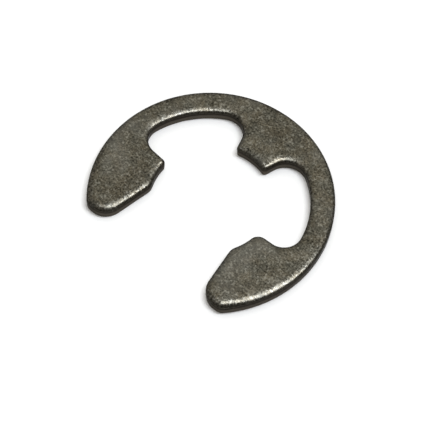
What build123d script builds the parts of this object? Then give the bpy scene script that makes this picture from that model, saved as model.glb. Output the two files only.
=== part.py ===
from build123d import *
import math
import os

# E-clip: a radial E-type retaining ring, blanked from spring steel strip.
#
# Frame: origin at the centre of the ring on the face it lies on, +Z up out of that face.
# The mouth that slides over the shaft opens towards -Y, and the middle prong stands on +Y.
# The punched side, with its rounded edge, is on top, and the burr side is at the bottom.
# All lengths are in millimetres and all angles in degrees.

# strip and ring
thickness = 1.067
outer_diameter = 20.32

# seat: the ends of the three prongs lie on one circle, a little smaller than the groove they grip
seat_diameter = 9.957
seat_drop = 0.03                    # the seat's centre lies this far towards the mouth

# side prongs, one on each arm
flank_drop = 0.27                   # the upper flank's line passes this far below the ring's centre
flank_rise_angle = 3.7              # the flank climbs outwards
prong_lead_radius = 1.20            # corner that the shaft rides over, between the mouth and the seat
prong_back_radius = 0.60            # corner between the seat and the upper flank

# middle prong
middle_root_offset = 0.14           # each flank's line crosses the X axis this far from the centre
middle_flank_angle = 16.7           # each flank leans out from +Y
middle_prong_radius = 0.77          # corner between the seat and the flank

# relief hollows beside the middle prong, which let the arms spring open
rim_width = 2.13                    # left standing behind the hollows, at the middle prong
rim_taper = 0.15                    # the rim is this much narrower at the arms
relief_outer_fillet = 1.54          # beside the side prong
relief_inner_fillet = 1.72          # beside the middle prong

# mouth and arm tips
mouth_lip = 1.04                    # the mouth's side crosses the X axis this far inside the seat
mouth_flare_angle = 9.9             # each side of the mouth opens outwards
tip_setback = 2.72                  # the cut across each tip passes this far inside the outer circle
tip_cut_angle = 2.6                 # the cut climbs outwards
tip_inner_radius = 1.63
tip_outer_radius = 0.83

# section of the edge, as the punch leaves it
roll_width = 0.33                   # the strip is drawn down by roll_depth over this width
roll_depth = 0.11
roll_crown_radius = 1.10            # blend from the flat face into the drawn-down slope
roll_shoulder_radius = 0.13         # blend from the slope into the sheared wall
fracture_height = 0.50              # torn zone above the burr face
fracture_inset = 0.10               # the torn zone leans in by this at the burr face

outer_radius = outer_diameter / 2
seat_radius = seat_diameter / 2
seat_centre = Vector(0, -seat_drop)
relief_radius = outer_radius - rim_width
relief_centre = Vector(rim_taper, 0)
mouth_half_width = seat_radius - mouth_lip
tip_reach = outer_radius - tip_setback
beyond = 2 * outer_diameter         # cutting shapes run this far, well past the ring
touch = 1e-4                        # closer than this counts as the same place
usable_share = 0.95                 # of an edge's length, which the roundings at its ends may take up


def half_plane(point, direction, inset):
    """Everything to the left of a line through point, and a strip of width inset to its right."""
    return Pos(*point) * Rot(0, 0, direction) * Pos(0, beyond / 2 - inset) * Rectangle(2 * beyond, beyond)


def relief_hollow(inset):
    """The hollow between the middle prong and the right side prong."""
    disc = Pos(relief_centre) * Circle(relief_radius + inset)
    above_side_prong = half_plane((0, -flank_drop), flank_rise_angle, inset)
    beside_middle_prong = half_plane((middle_root_offset, 0), -90 - middle_flank_angle, inset)
    return disc & above_side_prong & beside_middle_prong


def tip_cut(inset):
    """What is cut off across the end of the right arm."""
    return Rot(0, 0, tip_cut_angle) * half_plane((0, -tip_reach), 180, inset)


def mouth(inset):
    """The flared opening, from the seat out past both tips."""
    flare = math.radians(mouth_flare_angle)
    start = mouth_half_width + inset / math.cos(flare)
    right_side = [(start, 0), (start + beyond * math.tan(flare), -beyond)]
    left_side = [(-x, y) for x, y in reversed(right_side)]
    return make_face(Polyline(right_side + left_side, close=True))


def sharp_outline(inset):
    """The ring's outline with sharp corners, each of its walls moved into the metal by inset."""
    seat = Pos(seat_centre) * Circle(seat_radius + inset)
    right_cuts = relief_hollow(inset) + tip_cut(inset)
    left_cuts = mirror(right_cuts, about=Plane.YZ)
    return Circle(outer_radius - inset) - seat - mouth(inset) - right_cuts - left_cuts


def on_circle(points, centre, radius):
    """Those points that lie on a circle, from the lowest to the highest."""
    found = [p for p in points if abs((p - centre).length - radius) < touch]
    return sorted(found, key=lambda point: point.Y)


def right_corners(outline, inset):
    """The seven corners of the outline's right half, each after its neighbour, from the tip to the middle."""
    points = [Vector(v) for v in outline.vertices() if v.X > 0]
    lead, back, middle = on_circle(points, seat_centre, seat_radius + inset)
    hollow_outer, hollow_inner = on_circle(points, relief_centre, relief_radius + inset)
    (tip_outer,) = on_circle(points, Vector(0, 0), outer_radius - inset)
    rest = [lead, back, hollow_outer, hollow_inner, middle]
    (tip_inner,) = [p for p in points if p not in [tip_outer] + rest]
    return [tip_outer, tip_inner] + rest


# the radii meant for those corners, less than 0 where the corner is a hollow one
meant_radii = [
    tip_outer_radius,
    tip_inner_radius,
    prong_lead_radius,
    prong_back_radius,
    -relief_outer_fillet,
    -relief_inner_fillet,
    middle_prong_radius,
]


def edge_taken(outline, corner, radius):
    """How much of the edges beside a corner its rounding takes up, as if they ran straight as far as that."""
    directions = []
    for edge in outline.edges():
        step = min(radius / edge.length, 1)
        if (edge @ 0 - corner).length < touch:
            directions.append(edge @ step - corner)
        if (edge @ 1 - corner).length < touch:
            directions.append(edge @ (1 - step) - corner)
    half_angle = directions[0].get_angle(directions[1]) / 2
    return radius / math.tan(math.radians(half_angle))


def fitting_radii():
    """The radii meant, each made smaller where an edge is too short for the roundings at both its ends."""
    outline = sharp_outline(0)
    corners = right_corners(outline, 0)
    taken = [edge_taken(outline, corner, abs(radius)) for corner, radius in zip(corners, meant_radii)]
    share = [1.0] * len(corners)
    for edge in outline.edges():
        ends = [Vector(abs(end.X), end.Y) for end in (edge @ 0, edge @ 1)]
        here = [i for end in ends for i, corner in enumerate(corners) if (corner - end).length < touch]
        room = usable_share * edge.length / sum(taken[i] for i in here)
        for i in here:
            share[i] = min(share[i], room)
    return [radius * part for radius, part in zip(meant_radii, share)]


def rounded_outline(radii, inset):
    """The ring's outline with its corners rounded, the same one on both sides in turn."""
    outline = sharp_outline(inset)
    for corner, radius in zip(right_corners(outline, inset), radii):
        twin = Vector(-corner.X, corner.Y)
        pair = [v for v in outline.vertices() if min((Vector(v) - c).length for c in (corner, twin)) < touch]
        outline = fillet(pair, abs(radius - inset))
    return outline.face()


def plate(radii, low_inset, high_inset, low, high):
    """The metal between two heights, with walls that lean from one outline to the other."""
    low_face = Pos(0, 0, low) * rounded_outline(radii, low_inset)
    high_face = Pos(0, 0, high) * rounded_outline(radii, high_inset)
    return loft([low_face, high_face], ruled=True)


def edges_at(body, height):
    """The level edges that run round the body at one height."""
    return [e for e in body.edges() if all(abs(v.Z - height) < touch for v in e.vertices())]


def crown_radius(radii):
    """The crown's blend, less where it would run in past the centre of the smallest rounded corner."""
    half_slope = math.atan2(roll_depth, roll_width) / 2
    room = min(radius for radius in radii if radius > 0) - roll_width
    return min(roll_crown_radius, usable_share * room / math.tan(half_slope))


def e_clip():
    """The finished clip: torn zone, sheared wall and rolled edge, one above the other."""
    radii = fitting_radii()
    shoulder = thickness - roll_depth
    torn_zone = plate(radii, fracture_inset, 0, 0, fracture_height)
    sheared_zone = plate(radii, 0, 0, fracture_height, shoulder)
    drawn_zone = plate(radii, 0, roll_width, shoulder, thickness)
    body = torn_zone + sheared_zone + drawn_zone
    body = fillet(edges_at(body, thickness), crown_radius(radii))
    return fillet(edges_at(body, shoulder), roll_shoulder_radius)


os.makedirs("parts", exist_ok=True)
export_step(e_clip(), "parts/e_clip.step")
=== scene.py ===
"""The looks of an e-clip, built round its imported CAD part: finish, floor, soft studio light and camera.

The clip and the camera's place are given in millimetres, as in the CAD model, and are turned into metres
where they go into Blender. The floor and the lamps are given in metres.
"""
import math

import bpy
import numpy as np
from mathutils import Matrix, Vector, geometry, noise


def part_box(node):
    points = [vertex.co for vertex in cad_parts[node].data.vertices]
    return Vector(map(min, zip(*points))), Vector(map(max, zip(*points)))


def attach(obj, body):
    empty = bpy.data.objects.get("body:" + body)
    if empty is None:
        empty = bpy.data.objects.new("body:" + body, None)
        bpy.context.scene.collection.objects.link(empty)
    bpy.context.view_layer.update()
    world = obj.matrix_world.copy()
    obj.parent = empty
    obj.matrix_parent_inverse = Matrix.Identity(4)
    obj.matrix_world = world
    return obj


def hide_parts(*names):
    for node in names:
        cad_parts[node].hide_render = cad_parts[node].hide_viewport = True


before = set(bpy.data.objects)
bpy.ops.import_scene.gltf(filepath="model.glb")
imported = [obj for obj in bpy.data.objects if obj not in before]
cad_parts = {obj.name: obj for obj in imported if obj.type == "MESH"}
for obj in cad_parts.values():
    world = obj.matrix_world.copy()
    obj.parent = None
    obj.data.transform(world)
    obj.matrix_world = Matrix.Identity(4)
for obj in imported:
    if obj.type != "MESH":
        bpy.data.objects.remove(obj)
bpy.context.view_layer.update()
MM = 0.001

# ---------------------------------------------------------------- sizes of the clip, mm and degrees
clip_low, clip_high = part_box("e_clip")
outer_radius = (clip_high[0] - clip_low[0]) / 2 / MM
thickness = (clip_high[2] - clip_low[2]) / MM

seat_radius = 9.957 / 2
seat_drop = 0.03
flank_drop = 0.27
flank_rise_angle = 3.7
middle_root_offset = 0.09
middle_flank_angle = 16.7
middle_seat_rise = 0.10             # the middle prong stops this far short of the seat circle
rim_width = 2.13
rim_taper = 0.15
mouth_lip = 1.04
mouth_flare_angle = 9.9
tip_setback = 2.72
tip_cut_angle = 2.6

tip_outer_radius = 0.83
tip_inner_radius = 1.63
prong_lead_radius = 1.20
right_back_radius = 0.85            # the corner behind the side prong, on the right arm
left_back_radius = 0.35             # the same corner on the left arm, which came out sharper
relief_outer_fillet = 1.54
relief_inner_fillet = 1.72
middle_prong_radius = 0.30

burr_break = 0.02
fracture_height = 0.66
fracture_inset = 0.03
fracture_curve = 1.2                # above 1, so the torn zone leans in most near the burr face
least_sheared = 0.05                # the sheared wall is at least this tall
shoulder_width = 0.34               # half-axes of the ellipse of the tight lower part of the rolled edge
shoulder_height = 0.19
crown_radius = 2.0                  # the long shallow part above it
crown_tilt = math.radians(15)       # tilt where the two meet

# ---------------------------------------------------------------- unevenness of the edge
shoulder_growth = 0.50              # how much larger the shoulder is on the tips and corners
roll_drift = 0.22                   # the roll is this much larger towards +X, and smaller towards -X
roll_spread = 1.6                   # mm of outline over which its turning is averaged, to each side
full_turn = 0.45                    # this average turning, in radians to a mm, counts as 1
growth_start = 0.25                 # the shoulder starts to grow at this share of it

# strength as a share, length of a bump in mm, and the slice of the noise that it is read from
tear_waves = (0.10, 1.7, 3.0)
tear_ripples = (0.05, 0.5, 7.0)
lean_waves = (0.25, 1.1, 11.0)
roll_waves = (0.06, 2.5, 17.0)
grit_depth = 0.012                  # grit of the torn zone, mm
grit_length = 0.22
first_slice = 31.0                  # the grit's slice of the noise at the foot of the torn zone
more_slices = 9.0                   # how much further on it is at the top

# ---------------------------------------------------------------- fineness of the mesh
outline_step = 0.11
rounding_step = 0.6 * outline_step
least_rounding_steps = 4
centre_steps = 30                   # Newton steps to a rounding's centre
zone_steps = {"torn": 7, "sheared": 5, "shoulder": 8, "crown": 10}
face_step = 0.22
face_row_step = 0.87 * face_step
face_edge_gap = 0.6 * face_step
same_point = 1e-7                   # points that are closer than this become one
sharp_angle = math.radians(40)

# ---------------------------------------------------------------- finish
warm_phosphate = (0.082, 0.074, 0.057)
cool_phosphate = (0.075, 0.072, 0.060)
# painted sheen: the pale bluish-white colour of patches that stand for a reflected sheen on the flats
painted_sheen_colour = (0.116, 0.117, 0.114)
# bright specks: the coat's lighter grains, partly painted glints
bright_speck_and_glint = (0.320, 0.315, 0.285)
# the darker colour of the wall: partly the sheared steel's own tone, partly painted shade for the dark camera
# side that it reflects
sheared_steel_and_painted_shade = (0.024, 0.021, 0.017)
torn_steel = (0.095, 0.083, 0.067)
grazing = (0.48, 0.48, 0.48)        # the dark coat reflects less than bare metal does at a low angle

# noise: bumps to a metre, detail and roughness
grain_noise = (6500, 2.0, 0.6)
speck_and_glint_noise = (5200, 1.0, 0.5)
patch_noise = (1300, 3.0, 0.55)
cloud_noise = (260, 2.0, 0.5)
tint_noise = (900, 1.0, 0.5)

# the part of a noise over which its effect goes from least to most
grain_span = (0.25, 0.75)
middle_span = (0.30, 0.70)
tint_span = (0.35, 0.65)
painted_sheen_span = (0.52, 0.75)
speck_and_glint_span = (0.56, 0.72)

grain_contrast = 0.9
patch_contrast = 0.22
cloud_contrast = 0.16
# how much of the painted sheen the flats take at most
painted_sheen_strength = 0.45
speck_and_glint_strength = 0.38
patch_roughness = (0.20, 0.30)
grain_roughness = (-0.03, 0.05)
torn_roughness = 0.15
torn_fade = 6                       # above 1, so the torn look fades only at the top of its zone
bump_height = 6e-6                  # m

paper_roughness = 0.9
paper_lit = (0.85, 0.85, 0.85)      # for the light that the paper throws back
paper_seen = (1.0, 1.0, 1.0)        # for the camera, and in the clip's reflections

# ---------------------------------------------------------------- camera, mm and degrees
view_azimuth = -40.21               # the camera looks this way, turned from +Y towards +X
view_elevation = 60.71
view_roll = -1.76
view_distance = 180.8
view_lens = 184.7
view_sensor = 36
aim_right = 0.345                   # what it looks at, from the origin and in its own directions
aim_up = -0.967
nearest_seen = 0.01                 # m

# ---------------------------------------------------------------- room and lamps, m and degrees
room_colour = (1.02, 1.0, 0.95)
room_level = 0.57
front_level = 0.30                  # the darker patch of the room in front of the clip
front_fade = (-0.75, -0.15)         # full and none of it, by how far a direction points away from the camera
floor_fade = (0.15, 0.42)           # none and full of it, by how far a direction points up
floor_half = 0.8

# each lamp leans from overhead away from the camera, and then swings to the right
lamps = {
    "soft_box": {"lean": 4, "swing": 14, "distance": 0.40, "depth": 0.07, "width": 0.26,
                 "radiance": 16.5, "colour": (0.97, 1.0, 1.05)},
    "back_card": {"lean": 34, "swing": 6, "distance": 0.60, "depth": 0.46, "width": 0.52,
                  "radiance": 0.54, "colour": (1.06, 1.02, 0.84)},
}

across = Vector((math.cos(math.radians(view_azimuth)), -math.sin(math.radians(view_azimuth)), 0))
away = Vector((math.sin(math.radians(view_azimuth)), math.cos(math.radians(view_azimuth)), 0))
overhead = Vector((0, 0, 1))


def add_object(name, data):
    """A new object in the scene."""
    obj = bpy.data.objects.new(name, data)
    bpy.context.scene.collection.objects.link(obj)
    return obj


# ---------------------------------------------------------------- outline
class Line:
    """A straight wall: the metal ends where the distance along the outward normal passes offset."""

    def __init__(self, normal_angle, point):
        angle = math.radians(normal_angle)
        self.normal = np.array([math.cos(angle), math.sin(angle)])
        self.offset = self.normal @ np.array(point, float)

    def stand_out(self, place):
        """How far a place lies outside the metal, and the outward normal there."""
        return self.normal @ place - self.offset, self.normal

    def walk(self, start, end):
        """Evenly spaced (place, outward normal) from start up to, but not at, end."""
        count = max(1, math.ceil(np.linalg.norm(end - start) / outline_step))
        return [(start + (end - start) * i / count, self.normal) for i in range(count)]


class Circle:
    """A round wall, with its metal inside the circle or outside it."""

    def __init__(self, centre, radius, metal_inside):
        self.centre = np.array(centre, float)
        self.radius = radius
        self.sign = 1 if metal_inside else -1

    def stand_out(self, place):
        """How far a place lies outside the metal, and the outward normal there."""
        away_from_centre = place - self.centre
        length = np.linalg.norm(away_from_centre)
        return self.sign * (length - self.radius), self.sign * away_from_centre / length

    def walk(self, start, end):
        """The clip's outline runs clockwise, so an outer circle turns clockwise and a hollow one does not."""
        first = math.atan2(*(start - self.centre)[::-1])
        turn = math.atan2(*(end - self.centre)[::-1]) - first
        turn = -self.sign * ((-self.sign * turn) % (2 * math.pi))
        count = max(1, math.ceil(abs(turn) * self.radius / outline_step))
        points = []
        for i in range(count):
            angle = first + turn * i / count
            way = np.array([math.cos(angle), math.sin(angle)])
            points.append((self.centre + self.radius * way, self.sign * way))
        return points


def rounding_centre(before, after, radius, near):
    """Where a rounding's centre lies, at its radius inside both walls, or outside them if it is negative."""
    centre = np.array(near, float)
    for _ in range(centre_steps):
        out_a, normal_a = before.stand_out(centre)
        out_b, normal_b = after.stand_out(centre)
        step = np.linalg.solve(np.array([normal_a, normal_b]), np.array([out_a + radius, out_b + radius]))
        centre = centre - step
    return centre


def walk_rounding(centre, radius, normal_a, normal_b):
    """A rounding's points, from one wall's normal to the next one's."""
    angle = math.acos(np.clip(normal_a @ normal_b, -1, 1))
    count = max(least_rounding_steps, math.ceil(abs(radius) * angle / rounding_step))
    points = []
    for i in range(count):
        part = i / count
        way = math.sin((1 - part) * angle) * normal_a + math.sin(part * angle) * normal_b
        way = way / math.sin(angle)
        points.append((centre + radius * way, way))
    return points


def half_outline(back_radius):
    """The outline of the right half, from the top of the ring, round the tip, to the middle prong."""
    tip_way = math.radians(tip_cut_angle - 90)
    tip_point = (outer_radius - tip_setback) * np.array([math.cos(tip_way), math.sin(tip_way)])
    outer = Circle((0, 0), outer_radius, True)
    tip = Line(tip_cut_angle - 90, tip_point)
    mouth = Line(180 + mouth_flare_angle, (seat_radius - mouth_lip, 0))
    seat = Circle((0, -seat_drop), seat_radius, False)
    flank = Line(90 + flank_rise_angle, (0, -flank_drop))
    relief = Circle((rim_taper, 0), outer_radius - rim_width, False)
    middle = Line(-middle_flank_angle, (middle_root_offset, 0))
    middle_seat = Circle((0, middle_seat_rise - seat_drop), seat_radius, False)
    # the two walls, the radius, which is negative in a hollow, and about where it is, in outer radii
    corners = [
        (outer, tip, tip_outer_radius, (0.68, -0.73)),
        (tip, mouth, tip_inner_radius, (0.50, -0.80)),
        (mouth, seat, prong_lead_radius, (0.43, -0.27)),
        (seat, flank, back_radius, (0.50, -0.05)),
        (flank, relief, -relief_outer_fillet, (0.75, -0.03)),
        (relief, middle, -relief_inner_fillet, (0.30, 0.72)),
        (middle, middle_seat, middle_prong_radius, (0.16, 0.47)),
    ]
    points = []
    here = np.array([0, outer_radius])
    for before, after, radius, guess in corners:
        centre = rounding_centre(before, after, radius, outer_radius * np.array(guess))
        out_a, normal_a = before.stand_out(centre)
        out_b, normal_b = after.stand_out(centre)
        points += before.walk(here, centre - out_a * normal_a)
        points += walk_rounding(centre, radius, normal_a, normal_b)
        here = centre - out_b * normal_b
    middle_end = np.array([0, seat_radius - seat_drop + middle_seat_rise])
    return points + middle_seat.walk(here, middle_end) + [(middle_end, np.array([0, -1.0]))]


def outline():
    """Places and outward normals all round the clip, clockwise from the top of the ring."""
    right = half_outline(right_back_radius)
    mirror = np.array([-1, 1])
    left = [(place * mirror, normal * mirror) for place, normal in half_outline(left_back_radius)[1:-1]]
    both = right + left[::-1]
    return np.array([place for place, _ in both]), np.array([normal for _, normal in both])


# ---------------------------------------------------------------- mesh
def ripple(places, strength, length, slice_height):
    """Smooth noise at each place, at most about strength, with bumps about length mm long."""
    return strength * np.array([noise.noise(Vector((*(place / length), slice_height))) for place in places])


def outward_turn(places, normals):
    """How sharply the outline turns outwards round each place: 0 where it is straight, 1 at full_turn."""
    ahead = np.roll(normals, -1, axis=0)
    turn = np.arcsin(np.clip(normals[:, 1] * ahead[:, 0] - normals[:, 0] * ahead[:, 1], -1, 1))
    length = np.linalg.norm(np.roll(places, -1, axis=0) - places, axis=1)
    along = np.cumsum(length) - length
    whole = length.sum()
    result = np.empty(len(places))
    for i, here in enumerate(along):
        apart = np.abs(along - here)
        apart = np.minimum(apart, whole - apart)
        weight = np.exp(-0.5 * (apart / roll_spread) ** 2)
        result[i] = (turn * weight).sum() / (length * weight).sum()
    return result / full_turn


def section_rows():
    """(zone, share of the way up it) for each row of the wall, from the burr face up to the flat top."""
    rows = [("burr", 0.0), ("torn", 0.0)]
    for zone, steps in zone_steps.items():
        rows += [(zone, share) for share in np.linspace(0, 1, steps + 1)[1:]]
    return rows


def wall(places, normals):
    """Rows of points up the wall. For each row: how torn it is, and how far it takes the wall's darker
    colour, which is partly painted shade.
    """
    tear = fracture_height * (1 + ripple(places, *tear_waves) + ripple(places, *tear_ripples))
    lean = fracture_inset * (1 + ripple(places, *lean_waves))
    bulge = np.clip((outward_turn(places, normals) - growth_start) / (1 - growth_start), 0, 1)
    uneven = 1 + ripple(places, *roll_waves)
    growth = (1 + shoulder_growth * bulge) * (1 + roll_drift * normals[:, 0]) * uneven
    reach = shoulder_width * growth
    depth = shoulder_height * growth
    meeting = np.arctan2(depth, reach * math.tan(crown_tilt))    # where the ellipse has the crown's tilt
    crown_inset = reach * (1 - np.cos(meeting))
    shoulder = thickness - crown_radius * (1 - math.cos(crown_tilt)) - depth * np.sin(meeting)
    tear = np.minimum(tear, shoulder - least_sheared)
    rows, tornness, wall_and_painted_shade = [], [], []
    for zone, share in section_rows():
        if zone == "burr":
            inset = lean + burr_break
            level = np.zeros(len(places))
        elif zone == "torn":
            swell = grit_depth * math.sin(math.pi * share)
            grit = ripple(places, swell, grit_length, first_slice + more_slices * share)
            inset = lean * (1 - share) ** fracture_curve + grit
            level = burr_break + (tear - burr_break) * share
        elif zone == "sheared":
            inset = np.zeros(len(places))
            level = tear + (shoulder - tear) * share
        elif zone == "shoulder":
            inset = reach * (1 - np.cos(meeting * share))
            level = shoulder + depth * np.sin(meeting * share)
        else:
            tilt = crown_tilt * (1 - share)
            inset = crown_inset + crown_radius * (math.sin(crown_tilt) - math.sin(tilt))
            level = np.full(len(places), thickness - crown_radius * (1 - math.cos(tilt)))
        rows.append(np.column_stack([places - inset[:, None] * normals, level]))
        tornness.append({"burr": 1.0, "torn": 1.0 - share ** torn_fade}.get(zone, 0.0))
        # the wall's darker colour fades out up the shoulder; there it is painted shade for the dark band of
        # the steep rolled edge
        wall_and_painted_shade.append({"shoulder": 1 - share, "crown": 0.0}.get(zone, 1.0))
    rows[-1][:, 2] = thickness
    return rows, tornness, wall_and_painted_shade


def inside(ring, x, y):
    """Whether a point lies inside a closed ring of points."""
    x0, y0 = ring[:, 0], ring[:, 1]
    x1, y1 = np.roll(x0, -1), np.roll(y0, -1)
    spans = (y0 > y) != (y1 > y)
    rise = np.where(spans, y1 - y0, 1)
    return np.count_nonzero(spans & (x < (x1 - x0) * (y - y0) / rise + x0)) % 2 == 1


def face_points(ring):
    """A staggered grid of points inside a ring, kept clear of its edge."""
    low, high = ring.min(0), ring.max(0)
    points = []
    for k, y in enumerate(np.arange(low[1], high[1], face_row_step)):
        for x in np.arange(low[0] + (k % 2) * face_step / 2, high[0], face_step):
            near = np.hypot(ring[:, 0] - x, ring[:, 1] - y).min()
            if near > face_edge_gap and inside(ring, x, y):
                points.append((x, y))
    return points


def fill(ring):
    """The points added inside a ring of points, and the triangles that join them all."""
    count = len(ring)
    borders = [(i, (i + 1) % count) for i in range(count)]
    flat = [Vector(place) for place in ring] + [Vector(place) for place in face_points(ring)]
    keep_inside = 1
    places, _, triangles, *_ = geometry.delaunay_2d_cdt(flat, borders, [], keep_inside, same_point)
    return [(place.x, place.y) for place in places[count:]], triangles


def wall_faces(row_count, count):
    """Faces with four corners between each row of the wall and the next."""
    faces = []
    for row in range(row_count - 1):
        low, high = row * count, (row + 1) * count
        for i in range(count):
            j = (i + 1) % count
            faces.append((low + j, low + i, high + i, high + j))
    return faces


def build_clip():
    """The clip: rows of points up its wall, closed by a flat face above and below."""
    places, normals = outline()
    rows, tornness, wall_and_painted_shade = wall(places, normals)
    count = len(places)
    vertices = np.vstack(rows).tolist()
    zones = {"torn": np.repeat(tornness, count).tolist(), "wall": np.repeat(wall_and_painted_shade, count).tolist()}
    faces = wall_faces(len(rows), count)
    for row, upwards in ((len(rows) - 1, True), (0, False)):
        extra, triangles = fill(rows[row][:, :2])
        index = [*range(row * count, (row + 1) * count)]
        index += range(len(vertices), len(vertices) + len(extra))
        level = rows[row][0, 2]
        vertices += [(x, y, level) for x, y in extra]
        for values in zones.values():
            values += [0.0] * len(extra)
        for triangle in triangles:
            corners = [index[k] for k in triangle]
            faces.append(corners if upwards else corners[::-1])
    mesh = bpy.data.meshes.new("clip")
    mesh.from_pydata([[c * MM for c in vertex] for vertex in vertices], [], faces)
    mesh.validate()
    for name, values in zones.items():
        mesh.attributes.new(name, "FLOAT", "POINT").data.foreach_set("value", values)
    mesh.shade_smooth()
    mesh.set_sharp_from_angle(angle=sharp_angle)
    return add_object("clip", mesh)


# ---------------------------------------------------------------- materials
class Nodes:
    """Short calls that add nodes to the tree of a material or a world, and join them."""

    def __init__(self, owner):
        owner.use_nodes = True
        self.tree = owner.node_tree

    def add(self, kind, **settings):
        """A new node, with its settings."""
        node = self.tree.nodes.new(kind)
        for key, value in settings.items():
            setattr(node, key, value)
        return node

    def feed(self, socket, value):
        """Joins a socket to another node's output, or sets it to a number or a colour."""
        if isinstance(value, bpy.types.NodeSocket):
            self.tree.links.new(value, socket)
        elif socket.type == "RGBA":
            socket.default_value = (*value, 1)
        else:
            socket.default_value = value

    def noise(self, place, scale, detail, roughness):
        """Smooth noise at a place, from 0 to 1."""
        node = self.add("ShaderNodeTexNoise")
        self.feed(node.inputs["Vector"], place)
        self.feed(node.inputs["Scale"], scale)
        self.feed(node.inputs["Detail"], detail)
        self.feed(node.inputs["Roughness"], roughness)
        return node.outputs["Fac"]

    def ramp(self, source, span, low_value, high_value):
        """Goes from low_value to high_value over a span of the source, and is held beyond its ends."""
        node = self.add("ShaderNodeMapRange")
        self.feed(node.inputs["Value"], source)
        self.feed(node.inputs["From Min"], span[0])
        self.feed(node.inputs["From Max"], span[1])
        self.feed(node.inputs["To Min"], low_value)
        self.feed(node.inputs["To Max"], high_value)
        return node.outputs["Result"]

    def math(self, operation, *values):
        """One step of arithmetic."""
        node = self.add("ShaderNodeMath", operation=operation)
        for socket, value in zip(node.inputs, values):
            self.feed(socket, value)
        return node.outputs[0]

    def mix(self, share, a, b):
        """Goes from colour a to colour b as share goes from 0 to 1."""
        node = self.add("ShaderNodeMix", data_type="RGBA")
        share_socket, colour_a, colour_b = node.inputs[0], node.inputs[6], node.inputs[7]
        self.feed(share_socket, share)
        self.feed(colour_a, a)
        self.feed(colour_b, b)
        return node.outputs[2]


def phosphated_steel():
    """Oiled black phosphate on spring steel: a dark brown-grey metal with a fine, speckled grain. Its colour
    also holds painted light: a sheen in patches, glints in the specks, and shade on the wall and the steep
    rolled edge.
    """
    material = bpy.data.materials.new("phosphated_steel")
    n = Nodes(material)
    place = n.add("ShaderNodeTexCoord").outputs["Object"]
    grain = n.noise(place, *grain_noise)
    speck_and_glint = n.noise(place, *speck_and_glint_noise)
    patch = n.noise(place, *patch_noise)
    cloud = n.noise(place, *cloud_noise)
    tint = n.noise(place, *tint_noise)
    torn = n.add("ShaderNodeAttribute", attribute_name="torn").outputs["Fac"]
    on_wall_and_painted_shade = n.add("ShaderNodeAttribute", attribute_name="wall").outputs["Fac"]

    level = n.ramp(grain, grain_span, -grain_contrast, grain_contrast)
    level = n.math("ADD", level, n.ramp(patch, middle_span, -patch_contrast, patch_contrast))
    level = n.math("ADD", level, n.ramp(cloud, middle_span, -cloud_contrast, cloud_contrast))
    level = n.math("ADD", level, 1.0)
    shaded = n.add("ShaderNodeVectorMath", operation="SCALE")
    n.feed(shaded.inputs[0], n.mix(n.ramp(tint, tint_span, 0, 1), warm_phosphate, cool_phosphate))
    n.feed(shaded.inputs["Scale"], level)
    # painted sheen: cloud noise mixes pale patches into the flats, standing for a reflected sheen
    colour = n.mix(n.ramp(cloud, painted_sheen_span, 0, painted_sheen_strength), shaded.outputs[0], painted_sheen_colour)
    # bright specks: partly lighter grains of the coat, partly painted glints
    colour = n.mix(n.ramp(speck_and_glint, speck_and_glint_span, 0, speck_and_glint_strength), colour, bright_speck_and_glint)
    # the wall and the steep part of the rolled edge get a darker colour: partly the sheared steel's own tone,
    # partly painted shade
    colour = n.mix(on_wall_and_painted_shade, colour, sheared_steel_and_painted_shade)
    colour = n.mix(torn, colour, torn_steel)

    roughness = n.ramp(patch, middle_span, *patch_roughness)
    roughness = n.math("ADD", roughness, n.ramp(grain, middle_span, *grain_roughness))
    roughness = n.math("ADD", roughness, n.math("MULTIPLY", torn, torn_roughness))

    bump = n.add("ShaderNodeBump")
    n.feed(bump.inputs["Strength"], 1.0)
    n.feed(bump.inputs["Distance"], bump_height)
    n.feed(bump.inputs["Height"], grain)

    shader = n.tree.nodes["Principled BSDF"]
    n.feed(shader.inputs["Base Color"], colour)
    n.feed(shader.inputs["Roughness"], roughness)
    n.feed(shader.inputs["Normal"], bump.outputs["Normal"])
    n.feed(shader.inputs["Metallic"], 1.0)
    n.feed(shader.inputs["Specular Tint"], grazing)
    return material


def white_paper():
    """The white sheet that the clip lies on."""
    material = bpy.data.materials.new("white_paper")
    n = Nodes(material)
    rays = n.add("ShaderNodeLightPath")
    seen = n.math("ADD", rays.outputs["Is Camera Ray"], rays.outputs["Is Glossy Ray"])
    seen = n.math("ADD", seen, rays.outputs["Is Transmission Ray"])
    seen = n.math("MINIMUM", seen, 1.0)
    shader = n.tree.nodes["Principled BSDF"]
    n.feed(shader.inputs["Base Color"], n.mix(seen, paper_lit, paper_seen))
    n.feed(shader.inputs["Roughness"], paper_roughness)
    n.feed(shader.inputs["Specular IOR Level"], 0.0)
    return material


# ---------------------------------------------------------------- stage
def build_floor():
    """A flat square of paper, with the clip on its middle."""
    corners = [(x * floor_half, y * floor_half, 0) for x, y in ((-1, -1), (1, -1), (1, 1), (-1, 1))]
    mesh = bpy.data.meshes.new("floor")
    mesh.from_pydata(corners, [], [(0, 1, 2, 3)])
    mesh.materials.append(white_paper())
    obj = add_object("floor", mesh)


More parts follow.
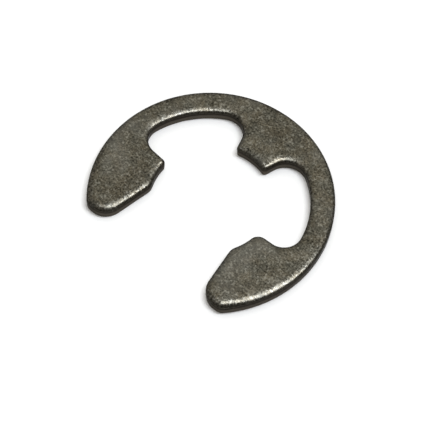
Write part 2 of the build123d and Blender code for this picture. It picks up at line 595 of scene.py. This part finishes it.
def build_world():
    """A pale room with a darker patch in front of the clip, half-way up on the side of the camera."""
    world = bpy.data.worlds.new("room")
    n = Nodes(world)
    direction = n.add("ShaderNodeTexCoord").outputs["Generated"]

    def along(way):
        """How far a direction of the room points this way, from -1 to 1."""
        product = n.add("ShaderNodeVectorMath", operation="DOT_PRODUCT")
        n.feed(product.inputs[0], direction)
        n.feed(product.inputs[1], way)
        return product.outputs["Value"]

    in_front = n.ramp(along(away), front_fade, room_level - front_level, 0.0)
    over_floor = n.ramp(along(overhead), floor_fade, 0.0, 1.0)
    level = n.math("SUBTRACT", room_level, n.math("MULTIPLY", in_front, over_floor))
    background = n.tree.nodes["Background"]
    n.feed(background.inputs["Color"], room_colour)
    n.feed(background.inputs["Strength"], level)
    bpy.context.scene.world = world


def build_camera():
    """A long lens, high over the near side of the clip."""
    tilt = math.radians(view_elevation)
    turn = math.radians(view_roll)
    forward = math.cos(tilt) * away - math.sin(tilt) * overhead
    level_up = across.cross(forward)
    right = math.cos(turn) * across - math.sin(turn) * level_up
    up = math.sin(turn) * across + math.cos(turn) * level_up
    place = aim_right * right + aim_up * up - view_distance * forward
    data = bpy.data.cameras.new("camera")
    data.lens = view_lens
    data.sensor_width = view_sensor
    data.clip_start = nearest_seen
    camera = add_object("camera", data)
    turned = Matrix((right, up, -forward)).transposed().to_4x4()
    camera.matrix_world = Matrix.Translation(place * MM) @ turned
    bpy.context.scene.camera = camera


def build_lamp(name, lean, swing, distance, depth, width, radiance, colour):
    """A rectangular lamp that faces the clip."""
    lean, swing = math.radians(lean), math.radians(swing)
    way = math.sin(swing) * across + math.cos(swing) * (math.sin(lean) * away + math.cos(lean) * overhead)
    side = (across - across.dot(way) * way).normalized()
    data = bpy.data.lights.new(name, "AREA")
    data.shape = "RECTANGLE"
    data.size = width
    data.size_y = depth
    data.energy = radiance * math.pi * width * depth
    data.color = colour
    box = add_object(name, data)
    turned = Matrix((side, way.cross(side), way)).transposed().to_4x4()
    box.matrix_world = Matrix.Translation(distance * way) @ turned


clip = build_clip()
clip.data.materials.append(phosphated_steel())
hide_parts("e_clip")
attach(clip, "root")

build_floor()
build_world()
build_camera()
for name, settings in lamps.items():
    build_lamp(name, **settings)

bpy.context.scene.view_settings.view_transform = "Standard"
